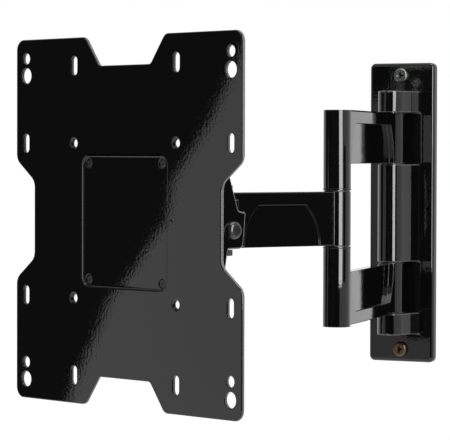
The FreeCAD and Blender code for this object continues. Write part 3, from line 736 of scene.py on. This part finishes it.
def narrow_yoke(bm):
    """Lowers the yoke's web beside its clevis, and further above its ears."""
    turned = Matrix((TILT_AXIS, -PLATE_OUT, UP)).transposed().to_4x4()
    place = Matrix.Translation((HEAD_HINGE.x, HEAD_HINGE.y, 0)) @ turned
    for near, far, heights in YOKE_CUTS:
        cutter = bmesh.new()
        for side in (1, -1):
            for low, high in heights:
                made = bmesh.ops.create_cube(cutter, size=1.0)
                size = ((far - near) * MM, YOKE_CUT_DEPTH, (high - low) * MM)
                middle = (side * (near + far) / 2 * MM, 0, (low + high) / 2 * MM)
                bmesh.ops.scale(cutter, verts=made["verts"], vec=size)
                bmesh.ops.translate(cutter, verts=made["verts"], vec=middle)
        bm = carved(bm, moved(cutter, place))
    join_flat_faces(bm)
    return bm


class MOUNT_OT_tilt_head(bpy.types.Operator):
    """Dress the tilting head with its pin, bolts, washers and lock nuts"""
    bl_idname = "mount.tilt_head"
    bl_label = "Tilt Head"

    def execute(self, context):
        paint, fasteners = settings()[:2]
        steps = fasteners.turns_steps
        dressed_node("tilt_yoke", "tilt_yoke_paint", "black_paint", "head", paint.sheet_edge,
                     shape=narrow_yoke, rim_highlight=0.15)
        for side in ("right", "left"):
            dressed_node(f"tilt_bolt_{side}", f"tilt_bolt_{side}_body", "black_bolt", "head",
                         TILT_BOLT_EDGE, least=BOLT_TURN)
            coat_node(f"tilt_washer_{side}", "black_nylon")
        coat_node("head_pin", "black_bolt")
        low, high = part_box("head_nut")
        self.dress_head_nut(low.z, high.z, steps)
        self.dress_pin_end(low.z, fasteners.machine_pitch, steps)
        self.dress_tilt_nuts(steps)
        return {"FINISHED"}

    def dress_head_nut(self, bottom, top, steps):
        """The lock nut under the head pin."""
        height, collar = (top - bottom) * 0.68, (top - bottom) * 0.32
        nut = hex_nut(NUT_FLATS, height, collar, NUT_BORE, steps)
        seat = Vector((HEAD_HINGE.x, HEAD_HINGE.y, top))
        moved(nut, axis_matrix(seat, Vector((0, 0, -1)), TILT_AXIS))
        shade(nut, NUT_SHARP)
        finish_piece(nut, "head_lock_nut", "zinc_screw", "head", ["head_nut"])

    def dress_pin_end(self, nut_bottom, pitch, steps):
        """The thread of the head pin that shows below its nut."""
        radius, depth, length, shown = 3.85 * MM, 0.22 * MM, 2.4 * MM, 2.2 * MM
        tail = helical_thread(radius, depth, pitch, length, steps)
        moved(tail, Matrix.Translation((HEAD_HINGE.x, HEAD_HINGE.y, nut_bottom - shown)))
        shade(tail)
        finish_piece(tail, "head_pin_thread", "black_bolt", "head")

    def dress_tilt_nuts(self, steps):
        """The lock nuts on the inside of the yoke's ears."""
        ear_inside, height, collar = 38 * MM, 3.9 * MM, 1.6 * MM
        for side, sign in (("right", 1), ("left", -1)):
            seat = TILT_PIVOT + TILT_AXIS * sign * ear_inside
            nut = hex_nut(NUT_FLATS, height, collar, NUT_BORE, steps)
            moved(nut, axis_matrix(seat, -TILT_AXIS * sign))
            shade(nut, NUT_SHARP)
            finish_piece(nut, f"tilt_lock_nut_{side}", "zinc_screw", "head", [f"tilt_nut_{side}"])


# The screws of the screen plate, across and up from its centre
PLATE_SCREWS = [(x * MM, z * MM) for x in (-35.8, 35.8) for z in (-37.3, 37.3)]

# The recess in the middle of the plate and the dimples of its screws
RECESS_HALF_X, RECESS_HALF_Z, RECESS_CORNER = 41.4 * MM, 41.8 * MM, 6 * MM
RECESS_DEPTH = 0.9 * MM
DIMPLE_RADIUS, DIMPLE_DEPTH = 2.9 * MM, 1.9 * MM
CUTTER_TOP = 5 * MM


def on_plate(x, z, rise):
    """A point of the screen plate, across, up and in front of its face."""
    return PLATE_CENTRE + TILT_AXIS * x + UP * z + PLATE_OUT * rise


def from_plate(point):
    """How far a point is across, up and in front of the screen plate's face."""
    offset = point - PLATE_CENTRE
    return offset.dot(TILT_AXIS), point.z, offset.dot(PLATE_OUT)


def plate_prism(outline, low, high):
    """A prism on the screen plate, from an outline and two heights over its front face."""
    bm = bmesh.new()
    bottom, top = ([bm.verts.new(on_plate(x, z, rise)) for x, z in outline] for rise in (low, high))
    for ring in (bottom, top):
        bm.faces.new(ring)
    for k in range(len(outline)):
        bm.faces.new((bottom[k - 1], bottom[k], top[k], top[k - 1]))
    bmesh.ops.recalc_face_normals(bm, faces=bm.faces)
    return bm


def arc(x, z, radius, start, stop, steps):
    """Points of an arc on the screen plate, between two angles in degrees."""
    angles = [math.radians(start + (stop - start) * k / steps) for k in range(steps + 1)]
    return [(x + math.cos(angle) * radius, z + math.sin(angle) * radius) for angle in angles]


def press_panel(bm):
    """Takes the raised panel off the plate and sinks a recess, with a dimple for each screw."""
    half_x, half_z, lowest, highest, sunk = 37.5 * MM, 41 * MM, 0.05 * MM, 1.2 * MM, 2.55 * MM
    for vert in bm.verts:
        x, z, rise = from_plate(vert.co)
        if lowest < rise < highest and abs(x) < half_x and abs(z) < half_z:
            vert.co -= PLATE_OUT * (rise + sunk)
    bmesh.ops.bisect_plane(bm, geom=bm.verts[:] + bm.edges[:] + bm.faces[:], dist=0.002 * MM,
                           plane_co=PLATE_CENTRE, plane_no=PLATE_OUT, clear_outer=True)
    bmesh.ops.holes_fill(bm, edges=[edge for edge in bm.edges if edge.is_boundary], sides=0)
    corner_x, corner_z = RECESS_HALF_X - RECESS_CORNER, RECESS_HALF_Z - RECESS_CORNER
    outline = []
    for sign_x, sign_z, start in ((1, 1, 0), (-1, 1, 90), (-1, -1, 180), (1, -1, 270)):
        outline += arc(sign_x * corner_x, sign_z * corner_z, RECESS_CORNER, start, start + 90, 8)
    bm = carved(bm, plate_prism(outline, -RECESS_DEPTH, CUTTER_TOP))
    for x, z in PLATE_SCREWS:
        ring = arc(x, z, DIMPLE_RADIUS, 0, 360, 32)[:-1]
        bm = carved(bm, plate_prism(ring, -DIMPLE_DEPTH, CUTTER_TOP))
    return bm


def sink_screws(bm):
    """Sinks the heads of the plate's screws into their dimples and makes them smaller."""
    width, flattening, sunk, tolerance = 0.73, 0.65, 1.89 * MM, 0.01 * MM
    for vert in bm.verts:
        x, z, rise = from_plate(vert.co)
        screw = min(PLATE_SCREWS, key=lambda at: math.hypot(x - at[0], z - at[1]))
        if rise > -tolerance:
            centre = on_plate(*screw, rise)
            vert.co = centre + (vert.co - centre) * width - PLATE_OUT * (sunk + rise * flattening)
    return bm


def mark_cut_faces(mesh):
    """Marks the narrow faces all round the pressed plate for the painted edge highlight, by how far
    they face forward.
    """
    most_backward, most_forward = -0.35, 0.1
    marks = mesh.attributes["edge"].data
    for face in mesh.polygons:
        forward = face.normal.dot(PLATE_OUT)
        marks[face.index].value = float(most_backward < forward < most_forward)


def deepen_wings(bm):
    """Moves the rear edges of the tilt bracket's wings back, to the outline of the real ones.

    Depths are behind the screen plate's face, and heights over the middle.
    """
    wing, outer_face, boss, lip = 41 * MM, 44.5 * MM, 6 * MM, 0.9 * MM
    top_height, top_depth, top_shift = 30 * MM, 36 * MM, 2.8 * MM
    ear_bottom, neck_height, neck_top, ear_depth = -18 * MM, 6.4 * MM, 10 * MM, 53 * MM
    neck_shift, ear_shift = 1.8 * MM, 3.2 * MM
    for vert in bm.verts:
        depth = (PLATE_CENTRE - vert.co).dot(PLATE_OUT)
        if abs((vert.co - HEAD_HINGE).dot(TILT_AXIS)) <= wing:
            continue
        if vert.co.z > top_height and depth > top_depth:
            vert.co -= PLATE_OUT * top_shift
        from_pivot = math.hypot(depth - TILT_DEPTH, vert.co.z - TILT_PIVOT.z)
        if ear_bottom < vert.co.z < neck_top and depth > ear_depth and from_pivot > boss:
            vert.co -= PLATE_OUT * (neck_shift if vert.co.z > neck_height else ear_shift)
    # A narrow band round the wings' outer faces is marked for the painted edge highlight
    layer = bm.faces.layers.float.new("edge")
    bm.normal_update()
    outside = [face for face in bm.faces if abs(face.normal.dot(TILT_AXIS)) > 0.99
               and abs((face.calc_center_median() - HEAD_HINGE).dot(TILT_AXIS)) > outer_face]
    rim_highlight = bmesh.ops.inset_region(bm, faces=outside, thickness=lip, use_even_offset=True)
    for face in rim_highlight["faces"]:
        face[layer] = 1.0
    return bm


class MOUNT_OT_screen_plate(bpy.types.Operator):
    """Dress the screen plate, the tilt bracket and the screws and nuts that join them"""
    bl_idname = "mount.screen_plate"
    bl_label = "Screen Plate"

    def execute(self, context):
        paint, fasteners = settings()[:2]
        plate = dressed_node("screen_plate", "screen_plate_paint", "black_paint", "screen",
                             paint.sheet_edge * PLATE_ROUNDING, segments=3,
                             shape=press_panel)
        mark_cut_faces(plate.data)
        dressed_node("tilt_bracket", "tilt_bracket_paint", "black_paint", "screen",
                     paint.sheet_edge * WING_ROUNDING, shape=deepen_wings)
        dressed_node("plate_screws", "plate_screw_heads", "black_bolt", "screen", PLATE_SCREW_EDGE,
                     least=SCREW_TURN, shape=sink_screws, rim_highlight=0.1)
        height, collar, seat = 2.2 * MM, 1.0 * MM, -5.6 * MM
        nuts = []
        for x, z in PLATE_SCREWS:
            nut = hex_nut(SMALL_NUT_FLATS, height, collar, SMALL_NUT_BORE,
                          fasteners.turns_steps // 2)
            nuts.append(moved(nut, axis_matrix(on_plate(x, z, seat), -PLATE_OUT)))
        bm = joined(nuts)
        shade(bm, NUT_SHARP)
        finish_piece(bm, "plate_lock_nuts", "zinc_screw", "screen", ["plate_nuts"])
        return {"FINISHED"}


# The stage

MIDDLE = Vector((0, -0.2, 0))
FRAME_WIDTH = 36

# The camera's turn round the mount, its height angle and its roll, in degrees, and its place
CAMERA_AZIMUTH, CAMERA_PITCH, CAMERA_ROLL = 28.043, 1.469, 0.142
CAMERA_PLACE = Vector((0.80350, -1.79397, 0.04425))

# How bright the floor and the air are: to the camera and reflections, and to the rest
FLOOR_GLOW = 0.72
SOFT_LIGHT = 0.5

# The edge between dark and white that the screen plate mirrors, in metres across and up from its
# centre, then round the dark side
PLATE_CARD = [
    (0.150, 0.165), (0.096, 0.084), (0.082, 0.064), (0.055, 0.036), (0.046, 0.026),
    (0.044, 0.012), (0.040, 0.002), (0.028, -0.010), (0.018, -0.020), (0.009, -0.030),
    (-0.014, -0.050), (-0.025, -0.070), (-0.039, -0.090), (-0.052, -0.110), (-0.075, -0.175),
    (-0.60, -0.175), (-0.60, 0.60), (0.150, 0.60)]
PLATE_CARD_GLOW = 0.05

# The dark card that the outer arm mirrors, as depth and height at one distance to the right
ARM_CARD = [(-0.235, -0.055), (-0.14, -0.055), (-0.14, 0.05), (-0.235, 0.05)]
ARM_CARD_X = 0.3

# Curtain folds, dark and pale, that the top of the wall bracket mirrors, in millimetres across
# and up from its centre
DARK_FOLD = [(-32, 86), (-32, 122), (1, 122), (-1, 112), (-5, 108), (-2, 103), (-6, 99), (-3, 95),
             (-8, 90), (-15, 85), (-23, 83)]
PALE_FOLD = [(2, 112), (6, 117), (10, 112), (12, 116), (17, 110), (15, 104), (19, 99), (16, 94),
             (18, 88), (12, 83), (6, 86), (3, 91), (5, 97), (0, 102), (3, 107)]
PALE_FOLD_GLOW = 1.5

# Tall cards round the mount: name, from and to which angle, and glow
TALL_CARDS = (("flag_front", -17, 52, 0.0), ("flag_left", -46, -17, 0.70))
TALL_CARD_DISTANCE, TALL_CARD_FOOT, TALL_CARD_TOP = 2.6, -0.4, 2.5


def stage_object(name, bm, material):
    """An object that belongs to the stage."""
    mesh = bpy.data.meshes.new(name)
    bm.to_mesh(mesh)
    bm.free()
    mesh.materials.append(material)
    thing = bpy.data.objects.new(name, mesh)
    bpy.context.scene.collection.objects.link(thing)
    return thing


def glowing(name, grey, roughness, glow=0.0):
    """A matt grey that glows white, with its node tree and shader."""
    material = bpy.data.materials.new(name)
    material.use_nodes = True
    tree = material.node_tree
    shader = tree.nodes["Principled BSDF"]
    shader.inputs["Base Color"].default_value = (grey, grey, grey, 1)
    shader.inputs["Roughness"].default_value = roughness
    shader.inputs["Specular IOR Level"].default_value = 0.0
    shader.inputs["Emission Color"].default_value = (1, 1, 1, 1)
    shader.inputs["Emission Strength"].default_value = glow
    return material, tree, shader


def flag(name, corners, glow=0.0):
    """A card that only reflections see, as photographers hang beside a glossy object."""
    bm = bmesh.new()
    bm.faces.new([bm.verts.new(corner) for corner in corners])
    card = stage_object(name, bm, glowing(name, 0.0, 1.0, glow)[0])
    card.visible_camera = False
    card.visible_diffuse = False
    card.visible_shadow = False
    card.visible_transmission = False


def softbox(name, place, target, width, height, power, in_reflections=True):
    """A rectangular area lamp aimed at a point."""
    lamp = bpy.data.lights.new(name, "AREA")
    lamp.shape = "RECTANGLE"
    lamp.size = width
    lamp.size_y = height
    lamp.energy = power
    holder = bpy.data.objects.new(name, lamp)
    bpy.context.scene.collection.objects.link(holder)
    holder.location = place
    holder.rotation_mode = "QUATERNION"
    holder.rotation_quaternion = (target - place).to_track_quat("-Z", "Y")
    holder.visible_glossy = in_reflections
    holder.visible_camera = False


def round_the_mount(azimuth, distance, height):
    """A point round the mount; azimuth 0 is in front and 90 is to the right."""
    angle = math.radians(azimuth)
    return MIDDLE + Vector((math.sin(angle) * distance, -math.cos(angle) * distance, height))


def camera_axes():
    """The camera's right, up and back directions."""
    azimuth, pitch, roll = map(math.radians, (CAMERA_AZIMUTH, CAMERA_PITCH, CAMERA_ROLL))
    back = Vector((math.sin(azimuth) * math.cos(pitch), -math.cos(azimuth) * math.cos(pitch),
                   math.sin(pitch)))
    level_right = Vector((math.cos(azimuth), math.sin(azimuth), 0))
    level_up = back.cross(level_right)
    right = level_right * math.cos(roll) + level_up * math.sin(roll)
    up = level_up * math.cos(roll) - level_right * math.sin(roll)
    return right, up, back


def mirrored(points, reach, centre, out, along, unit=1.0):
    """Where the camera sees points of a flat face mirrored to, reach times as far away."""
    behind = CAMERA_PLACE - out * 2 * (CAMERA_PLACE - centre).dot(out)
    spots = [centre + along * x * unit + UP * z * unit for x, z in points]
    return [behind + (spot - behind) * reach for spot in spots]


def seen_ray(tree, path):
    """1 for rays of the camera and of reflections, and 0 for the rest."""
    return math_node(tree, "MAXIMUM", path.outputs["Is Camera Ray"], path.outputs["Is Glossy Ray"])


def lit_floor():
    """White for the camera and for reflections, with the mount's shadow kept."""
    material, tree, shader = glowing("pale_floor", 0.6, 0.9)
    seen = seen_ray(tree, add(tree, "ShaderNodeLightPath"))
    glow = math_node(tree, "MULTIPLY", seen, FLOOR_GLOW)
    tree.links.new(glow, shader.inputs["Emission Strength"])
    return material


def white_world():
    """White for the camera, reflections and glass, and a plain soft light for the rest."""
    world = bpy.data.worlds.new("studio")
    bpy.context.scene.world = world
    world.use_nodes = True
    tree = world.node_tree
    background = tree.nodes["Background"]
    background.inputs["Color"].default_value = (1, 1, 1, 1)
    path = add(tree, "ShaderNodeLightPath")
    seen = math_node(tree, "MAXIMUM", seen_ray(tree, path), path.outputs["Is Transmission Ray"])
    tree.links.new(math_node(tree, "MAXIMUM", seen, SOFT_LIGHT), background.inputs["Strength"])


class MOUNT_OT_studio(bpy.types.Operator):
    """Set up the pale floor, the lamps, the cards and the camera"""
    bl_idname = "mount.studio"
    bl_label = "Studio"

    def execute(self, context):
        scene = context.scene
        stage = settings()[2]
        scene.view_settings.view_transform = "Standard"
        white_world()
        floor = bmesh.new()
        bmesh.ops.create_grid(floor, x_segments=1, y_segments=1, size=30)
        bmesh.ops.translate(floor, verts=floor.verts, vec=(0, 0, stage.floor_drop))
        stage_object("floor", floor, lit_floor())
        self.place_lamps(stage)
        self.hang_cards()
        self.place_camera(scene, stage)
        return {"FINISHED"}

    def place_lamps(self, stage):
        """The tall key on the right, the overhead box and the fill that reflections don't see."""
        softbox("key", place=Vector((0.46, -0.47, 0.24)), target=Vector((0, -0.1, 0.24)),
                width=0.26, height=0.62, power=stage.key_power)
        softbox("top", place=Vector((0.2, -0.3, 1.6)), target=MIDDLE, width=1.2, height=0.8,
                power=stage.top_power)
        softbox("fill", place=round_the_mount(15, 2.2, 0.6), target=MIDDLE, width=1.0, height=1.0,
                power=stage.fill_power, in_reflections=False)

    def hang_cards(self):
        """What the screen plate, the arm, the wall bracket and the rounded edges mirror."""
        flag("flag_plate", mirrored(PLATE_CARD, 1.5, PLATE_CENTRE, PLATE_OUT, TILT_AXIS),
             PLATE_CARD_GLOW)
        flag("flag_arm", [Vector((ARM_CARD_X, y, z)) for y, z in ARM_CARD])
        bracket = (1.75, Vector((0, BRACKET_FRONT, 0)), Vector((0, -1, 0)), Vector((1, 0, 0)), MM)
        flag("flag_fold", mirrored(DARK_FOLD, *bracket))
        flag("pale_fold", mirrored(PALE_FOLD, *bracket), PALE_FOLD_GLOW)
        for name, start, stop, glow in TALL_CARDS:
            corners = ((start, TALL_CARD_FOOT), (stop, TALL_CARD_FOOT), (stop, TALL_CARD_TOP),
                       (start, TALL_CARD_TOP))
            flag(name, [round_the_mount(azimuth, TALL_CARD_DISTANCE, height)
                        for azimuth, height in corners], glow)

    def place_camera(self, scene, stage):
        """The camera of the photograph."""
        camera = bpy.data.cameras.new("camera")
        camera.lens = stage.focal
        camera.sensor_width = FRAME_WIDTH
        camera.clip_start = 0.05
        camera.clip_end = 100
        holder = bpy.data.objects.new("camera", camera)
        scene.collection.objects.link(holder)
        turn = Matrix(camera_axes()).transposed().to_4x4()
        holder.matrix_world = Matrix.Translation(CAMERA_PLACE) @ turn
        scene.camera = holder


class MOUNT_PT_panel(bpy.types.Panel):
    """The sizes, colours and steps of the wall mount"""
    bl_label = "Wall Mount"
    bl_idname = "MOUNT_PT_panel"
    bl_space_type = "VIEW_3D"
    bl_region_type = "UI"
    bl_category = "Wall Mount"

    def draw(self, context):
        for group in settings():
            box = self.layout.box()
            for name in group.__annotations__:
                box.prop(group, name)
        for operator in OPERATORS:
            self.layout.operator(operator.bl_idname)


OPERATORS = (MOUNT_OT_wall_bracket, MOUNT_OT_wall_screws, MOUNT_OT_arms, MOUNT_OT_tilt_head,
             MOUNT_OT_screen_plate, MOUNT_OT_studio)
CLASSES = (MountPaint, MountFasteners, MountStage, *OPERATORS, MOUNT_PT_panel)


def register():
    for cls in CLASSES:
        bpy.utils.register_class(cls)
    bpy.types.Scene.mount_paint = PointerProperty(type=MountPaint)
    bpy.types.Scene.mount_fasteners = PointerProperty(type=MountFasteners)
    bpy.types.Scene.mount_stage = PointerProperty(type=MountStage)


def unregister():
    for name in ("mount_paint", "mount_fasteners", "mount_stage"):
        delattr(bpy.types.Scene, name)
    for cls in reversed(CLASSES):
        bpy.utils.unregister_class(cls)


def main():
    register()
    bpy.ops.mount.wall_bracket()
    bpy.ops.mount.wall_screws()
    bpy.ops.mount.arms()
    bpy.ops.mount.tilt_head()
    bpy.ops.mount.screen_plate()
    bpy.ops.mount.studio()


if __name__ == "__main__":
    main()
